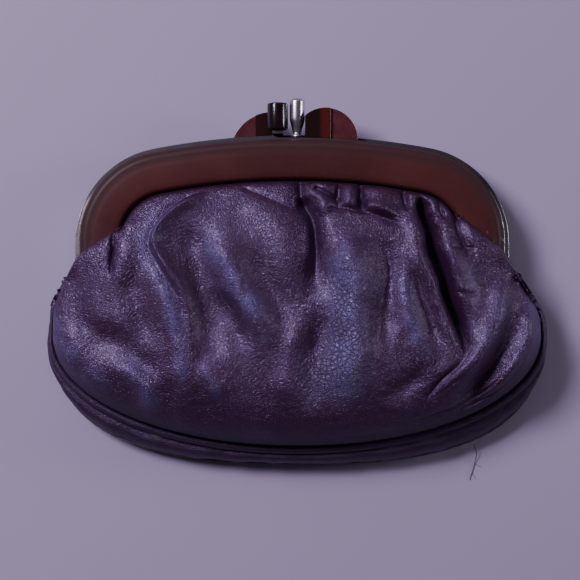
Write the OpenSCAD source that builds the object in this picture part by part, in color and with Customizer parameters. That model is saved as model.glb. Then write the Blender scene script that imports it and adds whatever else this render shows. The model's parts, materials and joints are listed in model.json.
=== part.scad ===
// Coin purse lying on its back: a leather pouch gathered into a hinged two-part frame, which a
// kiss-lock clasp holds shut. Millimetres. X runs across the purse, Y from the pouch's bottom to
// the clasp, Z up from the table. The origin is on the table, below the middle of the hinge line.

/* [Frame] */
// Width over the front half's metal channel
frame_w = 102.4; // [84:0.2:124]
// Height of the front half's crown above the hinge line
frame_rise = 34.9; // [28:0.1:42]
// Radius of the crown's long curve
crown_r = 177; // [140:1:230]
// Radius of the corner between crown and leg
corner_r = 22; // [16:0.5:27]
// How far the back half stands out beside the front half
nest_side = 1.4; // [1.2:0.1:2]
// How far the back half stands out above the front half
nest_top = 0.9; // [0.6:0.1:1.5]
// Thickness of the channel's sheet metal
wall_t = 0.6; // [0.4:0.05:0.8]
// Depth of the channel, from its rim towards the pouch
channel_d = 8; // [6:0.2:9]
// Gap between the two closed halves
mid_gap = 0.3; // [0.2:0.05:0.6]
// Height of the back cover above the table
frame_lift = 2; // [1.6:0.1:3]

/* [Covers] */
// Width of the plastic cover's band
cover_w = 9.7; // [8.6:0.1:11]
// Thickness of the plastic cover
cover_t = 2.2; // [1.6:0.1:2.8]
// Width of metal rim left showing outside the cover
cover_inset = 0.5; // [0.3:0.1:0.8]

/* [Hinge] */
// Radius of the hinge ears
ear_r = 3.4; // [2.8:0.1:4]
// Radius of the hinge rivet's shank
rivet_r = 0.9; // [0.7:0.05:1.2]
// Radius of the hinge rivet's heads
rivet_head_r = 1.8; // [1.4:0.1:2.4]
// Thickness of the rivet's outer head
rivet_head_t = 0.4; // [0.3:0.05:0.5]

/* [Clasp] */
// Diameter of the brown barrel
barrel_d = 5; // [4:0.1:6]
// Length of the brown barrel
barrel_l = 6.5; // [5:0.1:8]
// Gap under the barrel, above the back half's rim
barrel_lift = 1; // [0.6:0.1:2]
// Diameter of the metal pin's head
pin_d = 3.7; // [3:0.1:4.4]
// Height of the metal pin above the front half's rim
pin_h = 9.6; // [8:0.1:12]
// Sideways gap between barrel and pin
kiss_gap = 0.3; // [0.15:0.05:0.5]
// Radius of the right half-moon thumb piece
wing_r = 7.6; // [6.5:0.1:9]
// Radius of the left half-moon thumb piece
left_wing_r = 9.2; // [7.5:0.1:10.5]
// Thickness of the thumb piece's outer wing
wing_t = 1.6; // [1.2:0.1:2.2]
// Thickness of the thumb piece's boss
boss_t = 3.2; // [2.6:0.1:3.4]
// Width of the right thumb piece's boss
boss_w = 6.2; // [5.2:0.1:8]
// Width of the left thumb piece's boss
left_boss_w = 4.1; // [3.9:0.1:5.5]

/* [Pouch] */
// How far the pouch bulges out beside the frame at its widest
pouch_side = 8; // [6:0.1:12]
// Depth of the pouch's widest level below the hinge line
widest_y = 12.5; // [10.5:0.5:15]
// Depth of the pouch's bottom below the hinge line
pouch_drop = 44.2; // [38:0.2:56]
// How far the front seam lies inside the bottom edge
seam_step = 5.2; // [3:0.1:7]
// How far the gusset swells out between its two seams
gusset_puff = 0.8; // [0:0.1:1.6]
// Height of the pouch's front above the hinge line
front_bulge = 13; // [11:0.2:17]
// Thickness of the leather
leather_t = 1; // [0.8:0.05:1.2]
// Thickness of the cloth lining
lining_t = 0.35; // [0.25:0.05:0.5]
// Diameter of the paper cord that wedges the leather in the channel
filler_d = 0.8; // [0.6:0.05:1]
// Diameter of the seam thread
thread_d = 0.5; // [0.3:0.05:0.6]

/* [Hidden] */
$fn = 48;

fit = 0.1;               // clearance between pieces that lie against each other
run_fit = 0.05;          // radial clearance of the hinge rivet in the front ears
slot_h = leather_t + lining_t + filler_d + 4 * fit;
metal_h = 2 * wall_t + slot_h;
half_h = mid_gap / 2 + metal_h + cover_t;
hinge_z = half_h + frame_lift;

// An arch is [half width, crown height, crown radius, corner radius].
FRONT_ARCH = [frame_w / 2, frame_rise, crown_r, corner_r];
BACK_ARCH = [frame_w / 2 + nest_side, frame_rise + nest_top, crown_r + nest_top, corner_r + nest_side];
leg_y = ear_r + 1;       // the channels' legs end here, and only their ears reach the hinge line
cover_y = leg_y + 0.1;

// Heights within one half, measured away from the plane where the halves meet.
slot_top = mid_gap / 2 + wall_t + slot_h;
leather_z = slot_top - fit;
filler_z = mid_gap / 2 + wall_t + fit / 2 + filler_d / 2;

// The panels' outlines.
tongue_off = -(wall_t + 1.6);            // where the leather's edge ends inside the channel
mouth_off = -(cover_inset + cover_w + 0.7);   // where the leather turns into the channel
throat_y = arch_corner_y(BACK_ARCH) - 1.6;    // level at which the panels narrow to pass between the legs
fold_y = -11;                            // the front leather folds between this level and the throat
half_w = frame_w / 2 + pouch_side;
hinge_half_w = BACK_ARCH[0] + rivet_head_t + 1.4 + leather_t;
upper_b = widest_y / sqrt(1 - pow(hinge_half_w / half_w, 2));
seam_gap = thread_d + fit;
seam_up = 1;                             // height of the front seam above the hinge line
seam_down = hinge_z - 2;                 // depth of the back seam below the hinge line
over_leg = half_h + 0.3 + leather_t;     // height at which the leather passes over the legs
FRONT_SIDE = 1;
BACK_SIDE = -1;

function lerp(a, b, t) = a + (b - a) * t;
function clamp01(t) = min(1, max(0, t));
function ease(t) = let (c = clamp01(t)) c * c * (3 - 2 * c);
function flat(rows) = [for (r = rows) each r];

// ---- arches ----

function arch_top_y(h) = h[1] - h[2];
function arch_corner_x(h) = h[0] - h[3];
function arch_corner_y(h) = arch_top_y(h) + sqrt(pow(h[2] - h[3], 2) - pow(arch_corner_x(h), 2));
function arch_turn(h) = atan2(arch_corner_y(h) - arch_top_y(h), arch_corner_x(h));

// Right half of an arch at an offset, from the leg's end at height y0 up to the middle of the crown.
function half_arch(h, off, y0, n_corner = 12, n_crown = 7) = concat(
    [[h[0] + off, y0]],
    [for (i = [0 : n_corner]) let (a = arch_turn(h) * i / n_corner)
        [arch_corner_x(h) + (h[3] + off) * cos(a), arch_corner_y(h) + (h[3] + off) * sin(a)]],
    [for (i = [1 : n_crown]) let (a = lerp(arch_turn(h), 90, i / n_crown))
        [(h[2] + off) * cos(a), arch_top_y(h) + (h[2] + off) * sin(a)]]
);
function arch_line(h, off, y0) = let (r = half_arch(h, off, y0)) concat(
    r, [for (i = [len(r) - 2 : -1 : 0]) [-r[i][0], r[i][1]]]
);
function reversed(p) = [for (i = [len(p) - 1 : -1 : 0]) p[i]];

module band(h, off_out, off_in, y0, z0, z1) {
    translate([0, 0, z0])
        linear_extrude(z1 - z0)
            polygon(concat(arch_line(h, off_out, y0), reversed(arch_line(h, off_in, y0))));
}

// Everything in a half is drawn as for the front, above the meeting plane at z = 0, then placed.
module place(side) {
    translate([0, 0, hinge_z])
        mirror([0, 0, side == BACK_SIDE ? 1 : 0])
            children();
}

// A closed tube or bar swept through rings of points.
module swept(rings) {
    n = len(rings[0]);
    m = len(rings);
    sides = [for (i = [0 : m - 2], j = [0 : n - 1]) let (k = (j + 1) % n)
        each [[i * n + j, i * n + k, (i + 1) * n + k], [i * n + j, (i + 1) * n + k, (i + 1) * n + j]]];
    caps = [reversed([for (j = [0 : n - 1]) j]), [for (j = [0 : n - 1]) (m - 1) * n + j]];
    polyhedron(points = flat(rings), faces = concat(sides, caps), convexity = 6);
}

// A curved sheet between two grids of points, each a list of rows of the same length.
module sheet(above, below) {
    n = len(above);
    m = len(above[0]);
    b = n * m;
    quads = [for (i = [0 : n - 2], j = [0 : m - 2]) let (a = i * m + j) [a, a + 1, a + m + 1, a + m]];
    top = [for (q = quads) each [[q[0], q[1], q[2]], [q[0], q[2], q[3]]]];
    bottom = [for (q = quads) each [[q[0] + b, q[2] + b, q[1] + b], [q[0] + b, q[3] + b, q[2] + b]]];
    border = concat(
        [for (j = [0 : m - 1]) j],
        [for (i = [1 : n - 1]) i * m + m - 1],
        [for (j = [m - 2 : -1 : 0]) (n - 1) * m + j],
        [for (i = [n - 2 : -1 : 1]) i * m]
    );
    walls = [for (k = [0 : len(border) - 1]) let (p = border[k], q = border[(k + 1) % len(border)])
        each [[p, p + b, q + b], [p, q + b, q]]];
    polyhedron(points = concat(flat(above), flat(below)), faces = concat(top, bottom, walls), convexity = 10);
}

// ---- frame ----

module ear(h) {
    x0 = h[0] - wall_t;
    translate([x0, 0, 0])
        rotate([0, 90, 0])
            cylinder(r = ear_r, h = wall_t);
    translate([x0, 0, 0])
        cube([wall_t, leg_y + 1, ear_r]);
}

module channel(h, hole_r) {
    difference() {
        union() {
            difference() {
                band(h, 0, -channel_d, leg_y, mid_gap / 2, mid_gap / 2 + metal_h);
                band(h, -wall_t, -channel_d - 1, leg_y - 1, mid_gap / 2 + wall_t, slot_top);
            }
            for (m = [0, 1])
                mirror([m, 0, 0])
                    ear(h);
        }
        for (m = [0, 1])
            mirror([m, 0, 0])
                translate([h[0] - wall_t - 1, 0, 0])
                    rotate([0, 90, 0])
                        cylinder(r = hole_r, h = wall_t + 2);
        children();
    }
}

// Holes through the rim at the crown for the clasp's shanks, at these places across the purse.
module rim_holes(h, places) {
    for (x = places)
        translate([x, h[1] - 3, shank_z])
            rotate([-90, 0, 0])
                cylinder(r = shank_r + run_fit, h = 6);
}

module front_frame() {
    color([0.72, 0.70, 0.70])
        place(FRONT_SIDE)
            channel(FRONT_ARCH, rivet_r + run_fit)
                rim_holes(FRONT_ARCH, concat([pin_x], thumb_rivet_x(RIGHT_THUMB)));
}

module back_frame() {
    color([0.72, 0.70, 0.70])
        place(BACK_SIDE)
            channel(BACK_ARCH, rivet_r + run_fit / 2)
                rim_holes(BACK_ARCH, concat([barrel_x], -thumb_rivet_x(LEFT_THUMB)));
}

// The cover's section: [distance out from the channel's rim, height above the meeting plane].
// It is a shallow roll over the outer edge, a nearly flat face and a rounded inner edge.
function cover_section() = let (o = -cover_inset, i = o - cover_w, z = mid_gap / 2 + metal_h, t = cover_t) [
    [o, z], [o, z + 0.28 * t], [o - 0.35, z + 0.58 * t], [o - 1.2, z + 0.84 * t], [o - 2.4, z + 0.95 * t],
    [(o + i) / 2, z + t], [i + 1.5, z + 0.93 * t], [i + 0.4, z + 0.66 * t], [i, z + 0.25 * t], [i, z]
];

module cover(h, side) {
    section = cover_section();
    lines = [for (p = section) arch_line(h, p[0], cover_y)];
    place(side)
        swept([for (k = [0 : len(lines[0]) - 1])
            [for (i = [0 : len(section) - 1]) [each lines[i][k], section[i][1]]]]);
}

module front_cover() {
    color([0.24, 0.12, 0.11])
        cover(FRONT_ARCH, FRONT_SIDE);
}

module back_cover() {
    color([0.24, 0.12, 0.11])
        cover(BACK_ARCH, BACK_SIDE);
}

// A shouldered rivet: the collar keeps the two ears apart.
module hinge_rivet() {
    inner = FRONT_ARCH[0] - wall_t - fit;
    outer = BACK_ARCH[0];
    collar = [FRONT_ARCH[0] + fit, BACK_ARCH[0] - wall_t];
    translate([0, 0, hinge_z])
        rotate([0, 90, 0])
            rotate_extrude()
                polygon([
                    [0, inner - 0.6], [rivet_head_r - 0.2, inner - 0.6],
                    [rivet_head_r, inner - 0.4], [rivet_head_r, inner],
                    [rivet_r, inner], [rivet_r, collar[0]],
                    [rivet_head_r, collar[0]], [rivet_head_r, collar[1]],
                    [rivet_r, collar[1]], [rivet_r, outer], [rivet_head_r, outer],
                    [rivet_head_r - 0.3, outer + 0.7 * rivet_head_t],
                    [rivet_head_r - 0.9, outer + rivet_head_t], [0, outer + rivet_head_t]
                ]);
}

module right_hinge_rivet() {
    color([0.78, 0.76, 0.75])
        hinge_rivet();
}

module left_hinge_rivet() {
    color([0.78, 0.76, 0.75])
        mirror([1, 0, 0])
            hinge_rivet();
}

module filler_cord(h, side) {
    line = arch_line(h, -(wall_t + 2.4), leg_y + 1);
    out = arch_line(h, -(wall_t + 1.4), leg_y + 1);
    n = 8;
    place(side)
        swept([for (k = [0 : len(line) - 1])
            [for (j = [0 : n - 1]) let (a = 360 * j / n, d = out[k] - line[k])
                [each (line[k] + d * filler_d / 2 * cos(a)), filler_z + filler_d / 2 * sin(a)]]]);
}

module front_filler_cord() {
    color([0.72, 0.60, 0.42])
        filler_cord(FRONT_ARCH, FRONT_SIDE);
}

module back_filler_cord() {
    color([0.72, 0.60, 0.42])
        filler_cord(BACK_ARCH, BACK_SIDE);
}

// ---- clasp ----

shank_r = 0.6;                                     // shanks that pass through the rim
shank_z = mid_gap / 2 + wall_t + slot_h / 2;       // and where, in a half's thickness
shank_head_r = 0.95;
shank_head_t = 0.6;
barrel_x = -(barrel_d + kiss_gap) / 2 - 0.5;       // the barrel and the pin stand side by side
pin_x = barrel_x + barrel_d / 2 + kiss_gap + pin_d / 2;
barrel_y = BACK_ARCH[1] + barrel_lift;
barrel_z = barrel_d / 2 + fit;                     // the barrel leans over to the front half's side
pin_z = shank_z - 0.5;                             // and the pin to the back half's
post_r = 0.9;                                      // the post inside the barrel
arm_w = 2.4;                                       // and the arm that carries it
thumb_shank_l = 2.6;

// A thumb piece is [inner end, boss width, radius, middle across, middle above the rim], drawn on
// the right. The left one stands behind the barrel.
right_thumb_x = pin_x + pin_d / 2 + fit;
left_thumb_x = -barrel_x + arm_w / 2 + 2 * fit;
RIGHT_THUMB = [right_thumb_x, boss_w, wing_r, right_thumb_x + boss_w - 1.2, -0.4];
LEFT_THUMB = [left_thumb_x, left_boss_w, left_wing_r, left_thumb_x, -3.4];
function thumb_rivet_x(t) = [t[0] + 0.25 * t[1], t[0] + 0.76 * t[1]];

// A shank that is riveted under the rim: its head lies in the channel, and it stands up by l.
module rim_shank(h, x, l) {
    y = arch_top_y(h) + sqrt(pow(h[2] - wall_t, 2) - x * x);
    translate([x, y - 0.1, shank_z])
        rotate([-90, 0, 0]) {
            translate([0, 0, -shank_head_t])
                cylinder(r = shank_head_r, h = shank_head_t);
            cylinder(r = shank_r, h = l + wall_t + 0.1);
        }
}

// The metal pin: a collar on the rim, a waist that widens upwards, and a round-topped head.
module clasp_pin() {
    r = pin_d / 2;
    foot = 0.15;
    color([0.80, 0.78, 0.77])
        place(FRONT_SIDE) {
            rim_shank(FRONT_ARCH, pin_x, foot + 0.6);
            translate([pin_x, FRONT_ARCH[1] + foot, pin_z])
                rotate([-90, 0, 0])
                    rotate_extrude()
                        polygon(concat(
                            [[0, 0], [1.5, 0], [1.5, 0.6], [0.95, 0.8], [r, 0.5 * pin_h]],
                            [for (a = [0 : 15 : 90]) [r * cos(a), pin_h - 0.75 * r * (1 - sin(a))]]
                        ));
        }
}

// The barrel is a sleeve on a cranked metal post from the back half.
module clasp_barrel() {
    r = barrel_d / 2;
    color([0.17, 0.07, 0.07])
        translate([barrel_x, barrel_y, hinge_z + barrel_z])
            rotate([-90, 0, 0])
                rotate_extrude()
                    polygon([
                        [post_r + run_fit, 0], [r - 0.9, 0], [r - 0.25, 0.5], [r, 1.1],
                        [r, barrel_l - 0.7],
                        [r - 0.2, barrel_l - 0.3], [r - 0.7, barrel_l], [0, barrel_l],
                        [0, barrel_l - 1.4], [post_r + run_fit, barrel_l - 1.4]
                    ]);
}

module barrel_post() {
    arm_y = BACK_ARCH[1] + 0.1;
    arm_t = barrel_lift - 0.3;
    color([0.72, 0.70, 0.70])
        translate([0, 0, hinge_z]) {
            mirror([0, 0, 1])
                rim_shank(BACK_ARCH, barrel_x, 0.3);
            translate([barrel_x - arm_w / 2, arm_y, -shank_z - arm_w / 2])
                cube([arm_w, arm_t, shank_z + barrel_z + arm_w]);
            translate([barrel_x, arm_y + arm_t - 0.1, barrel_z])
                rotate([-90, 0, 0])
                    cylinder(r = post_r, h = barrel_l - 1.2);
        }
}

// A half-moon thumb piece: a thin round wing and a thicker boss beside the pin or barrel. Its
// foot follows the crown.
module thumb_piece(h, t) {
    middle = [t[3], h[1] + t[4], 0];
    difference() {
        translate([0, 0, shank_z])
            intersection() {
                union() {
                    translate(middle - [0, 0, wing_t / 2])
                        cylinder(r = t[2], h = wing_t);
                    intersection() {
                        translate(middle - [0, 0, boss_t / 2])
                            cylinder(r = t[2], h = boss_t);
                        translate([t[0] - 1, h[1] - 5, -boss_t])
                            cube([t[1] + 1, 20, 2 * boss_t]);
                    }
                }
                translate([t[0], h[1] - 5, -boss_t])
                    cube([3 * t[2], 20, 2 * boss_t]);
            }
        translate([0, arch_top_y(h), shank_z - boss_t])
            cylinder(r = h[2] + 0.05, h = 2 * boss_t, $fn = 240);
        for (x = thumb_rivet_x(t))
            translate([x, h[1] - 4, shank_z])
                rotate([-90, 0, 0])
                    cylinder(r = shank_r + run_fit, h = 4 + thumb_shank_l + 0.2);
    }
}

module right_thumb_piece() {
    color([0.30, 0.13, 0.12])
        place(FRONT_SIDE)
            thumb_piece(FRONT_ARCH, RIGHT_THUMB);
}

module left_thumb_piece() {
    color([0.28, 0.15, 0.15])
        place(BACK_SIDE)
            mirror([1, 0, 0])
                thumb_piece(BACK_ARCH, LEFT_THUMB);
}

module thumb_rivets(h, t) {
    for (x = thumb_rivet_x(t))
        rim_shank(h, x, thumb_shank_l - (x * x) / (2 * h[2]));
}

module right_thumb_rivets() {
    color([0.72, 0.70, 0.70])
        place(FRONT_SIDE)
            thumb_rivets(FRONT_ARCH, RIGHT_THUMB);
}

module left_thumb_rivets() {
    color([0.72, 0.70, 0.70])
        place(BACK_SIDE)
            mirror([1, 0, 0])
                thumb_rivets(BACK_ARCH, LEFT_THUMB);
}

// ---- pouch ----

// Each side of the pouch is one grid of points: across by s from -1 to 1, and up by rows from the
// bottom seam through the fold and the throat to the leather's edge in the channel. d is how far
// a surface lies inside the leather's outer face.

function side_arch(side) = side == FRONT_SIDE ? FRONT_ARCH : BACK_ARCH;
function bottom_b(side) = pouch_drop - widest_y - (side == FRONT_SIDE ? seam_step : 0);
function bottom_n(side) = side == FRONT_SIDE ? 1.85 : 2.5;
function throat_half_w(side) = side_arch(side)[0] + mouth_off;

// Half width of the pouch at a level at or above its widest.
function upper_half_w(side, y, d) = lerp(
    (half_w - d) * sqrt(1 - pow((min(y, 0) + widest_y) / upper_b, 2)),
    throat_half_w(side) - d,
    ease(y / throat_y)
);

// A point of the lower outline at angle a, 90 at the bottom and 0 at the widest level.
function lower_rim(side, a, d) = let (n = bottom_n(side)) [
    (half_w - d) * pow(cos(a), 2 / n), -widest_y - (bottom_b(side) - d) * pow(sin(a), 2 / n)
];

// Height of the outline at a level, and of the middle, both away from the hinge line.
function rim_h(side, y) = lerp(side == FRONT_SIDE ? seam_up : seam_down, over_leg, ease((y - 0.5) / 3.5));
back_bulge = hinge_z + 0.4;                        // the back is cut off flat at the table
function middle_h(side, y) = side == FRONT_SIDE ? front_bulge - 1.2 * ease(y / throat_y) : back_bulge;
function crown_of(s) = pow(1 - pow(abs(s), 4), 0.45);
function surface_h(side, s, y, swell, d) = let (e = rim_h(side, y), c = middle_h(side, y) - d)
    e + (c - e) * swell * crown_of(s);

n_across = 33;
function across(i) = sin(lerp(-90, 90, i / (n_across - 1)));
bottom_a = 86;
function row_at(side, y, w, swell, d) = [for (i = [0 : n_across - 1]) let (s = across(i))
    [s * w, y, surface_h(side, s, y, swell, d)]];
function lower_rows(side, d, n = 11) = [for (k = [0 : n]) let (p = lower_rim(side, bottom_a * (1 - k / n), d))
    row_at(side, p[1], p[0], pow(1 - pow(1 - k / n, 3), 0.6), d)];
function rows_between(side, y0, y1, n, d, first = 0) = [for (k = [first : n]) let (y = lerp(y0, y1, k / n))
    row_at(side, y, upper_half_w(side, y, d), 1, d)];

// Where column i meets the channel, as a place along the arch from the right leg to the left.
function mouth_line(side, off) = let (l = arch_line(side_arch(side), off, throat_y + 1.5), n = len(l) - 1)
    [for (i = [0 : n_across - 1]) let (t = n * (1 - i / (n_across - 1)), k = min(floor(t), n - 1))
        lerp(l[k], l[k + 1], t - k)];
function mouth_rows(side, d, n = 6) = let (
        q = mouth_line(side, mouth_off - d), t = mouth_line(side, tongue_off), z1 = leather_z - d)
    concat(
        [for (k = [1 : n]) let (v = k / n)
            [for (i = [0 : n_across - 1]) let (s = across(i), z0 = surface_h(side, s, throat_y, 1, d),
                    p = lerp([s * (throat_half_w(side) - d), throat_y], q[i], pow(v, 0.8)))
                [p[0], p[1], z1 + (z0 - z1) * pow(1 - pow(v, 2.6), 0.6)]]],
        [[for (i = [0 : n_across - 1]) [t[i][0], t[i][1], z1]]]
    );

// z is measured from the hinge line, upwards for the front and downwards for the back.
function placed(side, rows, floor_z) = [for (r = rows)
    [for (p = r) [p[0], p[1], max(floor_z, hinge_z + side * p[2])]]];

// The floors are the lowest that the outer and the inner surface go.
module panel(side, rows_out, rows_in, floor_out = -99, floor_in = -99) {
    above = placed(side, rows_out, floor_out);
    below = placed(side, rows_in, floor_in);
    if (side == FRONT_SIDE)
        sheet([for (i = [len(above) - 1 : -1 : 0]) above[i]], [for (i = [len(below) - 1 : -1 : 0]) below[i]]);
    else
        sheet(above, below);
}

function whole(side, d) = concat(
    lower_rows(side, d),
    rows_between(side, -widest_y, throat_y, 8, d, 1),
    mouth_rows(side, d)
);

// The front's skin between two levels. It is one skin that is parted at the fold and the throat.
module front_slice(d_out, d_in, y0, y1) {
    intersection() {
        panel(FRONT_SIDE, whole(FRONT_SIDE, d_out), whole(FRONT_SIDE, d_in));
        translate([-half_w - 1, y0, 0])
            cube([2 * half_w + 2, y1 - y0, 3 * hinge_z]);
    }
}

module low_slice(d_out, d_in) {
    front_slice(d_out, d_in, -pouch_drop, fold_y);
}

module fold_slice(d_out, d_in) {
    front_slice(d_out, d_in, fold_y + fit / 2, throat_y - part_gap);
}

module top_slice(d_out, d_in) {
    front_slice(d_out, d_in, throat_y, frame_rise);
}

part_gap = 0.3;          // gap between the parts of the skin that swing apart
lining_in = leather_t + fit;

module front_panel() {
    color([0.25, 0.17, 0.27])
        low_slice(0, leather_t);
}

module front_panel_fold() {
    color([0.25, 0.17, 0.27])
        fold_slice(0, leather_t);
}

module front_panel_top() {
    color([0.25, 0.17, 0.27])
        top_slice(0, leather_t);
}

// The back lies flat on the table over a broad middle.
module back_panel() {
    color([0.25, 0.17, 0.27])
        difference() {
            panel(BACK_SIDE, whole(BACK_SIDE, 0), whole(BACK_SIDE, leather_t), -99, leather_t);
            translate([-100, -100, -20])
                cube([200, 200, 20]);
        }
}

module front_lining() {
    color([0.30, 0.24, 0.24])
        low_slice(lining_in, lining_in + lining_t);
}

module front_lining_fold() {
    color([0.30, 0.24, 0.24])
        fold_slice(lining_in, lining_in + lining_t);
}

module front_lining_top() {
    color([0.30, 0.24, 0.24])
        top_slice(lining_in, lining_in + lining_t);
}

module back_lining() {
    color([0.30, 0.24, 0.24])
        panel(
            BACK_SIDE, whole(BACK_SIDE, lining_in), whole(BACK_SIDE, lining_in + lining_t),
            lining_in, lining_in + lining_t
        );
}

// The seam's line at t from -1 at the left hinge, through 0 at the bottom, to 1 at the right.
function seam_point(side, t, d) = let (
        u = abs(t), bend = 0.8, top_y = -0.6,
        p = u < bend ? lower_rim(side, 90 * (1 - u / bend), d)
            : let (y = lerp(-widest_y, top_y, (u - bend) / (1 - bend))) [upper_half_w(side, y, d), y])
    [sign(t) * p[0], p[1], hinge_z + side * rim_h(side, -widest_y)];

// A band from the back seam up to the front seam, swollen outwards between them.
function strip_rows(d, n = 60, m = 4) = [for (i = [0 : n]) let (
        b = seam_point(BACK_SIDE, 2 * i / n - 1, d), f = seam_point(FRONT_SIDE, 2 * i / n - 1, d))
    [for (j = [0 : m]) let (
            v = j / m, p = lerp(b, f, v), away = [p[0], p[1] + widest_y],
            q = gusset_puff * 4 * v * (1 - v) / norm(away) * away)
        [p[0] + q[0], p[1] + q[1], lerp(b[2] + seam_gap, f[2] - seam_gap, v)]]];

module gusset() {
    color([0.16, 0.10, 0.19])
        sheet(strip_rows(0), strip_rows(leather_t));
}

module gusset_lining() {
    color([0.30, 0.24, 0.24])
        sheet(strip_rows(lining_in), strip_rows(lining_in + lining_t));
}

module seam_thread(side) {
    n = 64;
    sides = 8;
    r = thread_d / 2;
    z = -side * (seam_gap / 2);
    swept([for (i = [0 : n]) let (
            t = 2 * i / n - 1, p = seam_point(side, t, leather_t / 2), o = seam_point(side, t, 0) - p)
        [for (j = [0 : sides - 1]) let (a = 360 * j / sides)
            p + r * cos(a) * o / norm(o) + [0, 0, z + r * sin(a)]]]);
}

module front_seam_thread() {
    color([0.10, 0.07, 0.12])
        seam_thread(FRONT_SIDE);
}

module back_seam_thread() {
    color([0.10, 0.07, 0.12])
        seam_thread(BACK_SIDE);
}

back_frame();
front_frame();
back_cover();
front_cover();
right_hinge_rivet();
left_hinge_rivet();
clasp_pin();
clasp_barrel();
barrel_post();
right_thumb_piece();
left_thumb_piece();
right_thumb_rivets();
left_thumb_rivets();
back_filler_cord();
front_filler_cord();
back_panel();
front_panel();
front_panel_fold();
front_panel_top();
gusset();
back_lining();
front_lining();
front_lining_fold();
front_lining_top();
gusset_lining();
front_seam_thread();
back_seam_thread();
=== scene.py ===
import json
import math

import bpy
import numpy as np
from mathutils import Matrix, Vector, noise

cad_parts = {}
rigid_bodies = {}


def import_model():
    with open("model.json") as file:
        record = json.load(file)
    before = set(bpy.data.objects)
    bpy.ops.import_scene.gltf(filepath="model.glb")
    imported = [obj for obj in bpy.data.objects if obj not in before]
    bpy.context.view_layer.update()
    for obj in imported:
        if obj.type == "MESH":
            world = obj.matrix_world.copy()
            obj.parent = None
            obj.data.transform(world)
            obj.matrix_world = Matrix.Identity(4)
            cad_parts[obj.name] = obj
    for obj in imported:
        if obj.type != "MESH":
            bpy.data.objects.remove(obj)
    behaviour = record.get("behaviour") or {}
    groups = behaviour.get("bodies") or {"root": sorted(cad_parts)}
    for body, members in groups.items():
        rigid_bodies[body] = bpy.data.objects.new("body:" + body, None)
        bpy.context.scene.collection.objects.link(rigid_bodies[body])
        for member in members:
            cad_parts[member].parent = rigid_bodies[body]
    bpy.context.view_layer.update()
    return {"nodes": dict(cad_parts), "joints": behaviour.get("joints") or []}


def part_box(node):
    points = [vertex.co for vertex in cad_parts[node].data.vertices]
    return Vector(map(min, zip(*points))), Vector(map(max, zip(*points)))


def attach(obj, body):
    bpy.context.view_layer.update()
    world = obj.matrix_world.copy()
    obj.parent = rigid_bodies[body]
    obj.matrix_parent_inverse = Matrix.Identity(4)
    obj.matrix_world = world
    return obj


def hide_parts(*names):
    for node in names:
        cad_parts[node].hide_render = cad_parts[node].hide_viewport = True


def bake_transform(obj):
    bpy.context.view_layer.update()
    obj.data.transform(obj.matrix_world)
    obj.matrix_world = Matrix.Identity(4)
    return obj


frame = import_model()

# ---- Metal channels --------------------------------------------------------------------------
# Each half of the frame is a strip of nickel-plated sheet folded into a channel and bent into an
# arch. The pouch is wedged into it, and its ends are flattened into ears for the hinge rivets.

MM = 0.001
HINGE_Z = 1000 * frame["joints"][0]["pos_m"][2]
CROWN_R = 177.0
CORNER_R = 22.0
RIM_Y = 4.4                   # the channel's legs end here, above the hinge line
SHEET = 0.6                   # thickness of the sheet metal
CHANNEL_DEPTH = 8.0
MID = 0.15                    # from the meeting plane to the metal
CHANNEL_H = 3.75
EAR_R = 3.4


class Arch:
    """The outer line of one half of the frame, from the right leg's end over to the left's."""

    def __init__(self, node, grown):
        low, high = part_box(node)
        self.half_w = 1000 * high.x
        self.rise = 1000 * high.y
        self.crown_r = CROWN_R + grown[1]
        self.corner_r = CORNER_R + grown[0]
        self.top = self.rise - self.crown_r
        self.corner_x = self.half_w - self.corner_r
        self.corner_y = self.top + math.sqrt((self.crown_r - self.corner_r) ** 2 - self.corner_x ** 2)
        self.turn = math.atan2(self.corner_y - self.top, self.corner_x)

    def line(self, y0, n_leg=6, n_corner=40, n_crown=60):
        """Points of the line and its outward directions."""
        points = [(self.half_w, y0 + (self.corner_y - y0) * i / n_leg) for i in range(n_leg)]
        out = [(1.0, 0.0)] * n_leg
        for i in range(n_corner):
            a = self.turn * i / n_corner
            out.append((math.cos(a), math.sin(a)))
            points.append((self.corner_x + self.corner_r * out[-1][0],
                           self.corner_y + self.corner_r * out[-1][1]))
        for i in range(n_crown + 1):
            a = self.turn + (math.pi / 2 - self.turn) * i / n_crown
            out.append((math.cos(a), math.sin(a)))
            points.append((self.crown_r * out[-1][0], self.top + self.crown_r * out[-1][1]))
        points, out = np.array(points), np.array(out)
        mirror = np.array([-1.0, 1.0])
        return np.vstack([points, points[-2::-1] * mirror]), np.vstack([out, out[-2::-1] * mirror])


FRONT = Arch("front_frame", (0, 0))
BACK = Arch("back_frame", (1.4, 0.9))


def height(side, z):
    """World height of a level that is measured away from the meeting plane, 1 front, -1 back."""
    return HINGE_Z + side * z


def swept(arch, section, side, y0):
    """Rings of a section [(distance out from the rim, level), ...] along an arch."""
    points, out = arch.line(y0)
    rings = np.zeros((len(points), len(section), 3))
    for j, (off, z) in enumerate(section):
        rings[:, j, :2] = points + off * out
        rings[:, j, 2] = height(side, z)
    return rings


def tube(rings):
    """Vertices and faces of a closed bar through rings of points."""
    m, n = rings.shape[:2]
    i, j = np.meshgrid(np.arange(m - 1), np.arange(n), indexing="ij")
    k = (j + 1) % n
    sides = np.stack([i * n + j, i * n + k, (i + 1) * n + k, (i + 1) * n + j], -1).reshape(-1, 4).tolist()
    return rings.reshape(-1, 3), sides + [list(range(n))[::-1], list(range((m - 1) * n, m * n))]


def joined(*parts):
    """Several (vertices, faces) as one."""
    points, faces = [], []
    for p, f in parts:
        start = sum(len(q) for q in points)
        points.append(np.asarray(p, float))
        faces += [[v + start for v in face] for face in f]
    return np.vstack(points), faces


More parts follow.
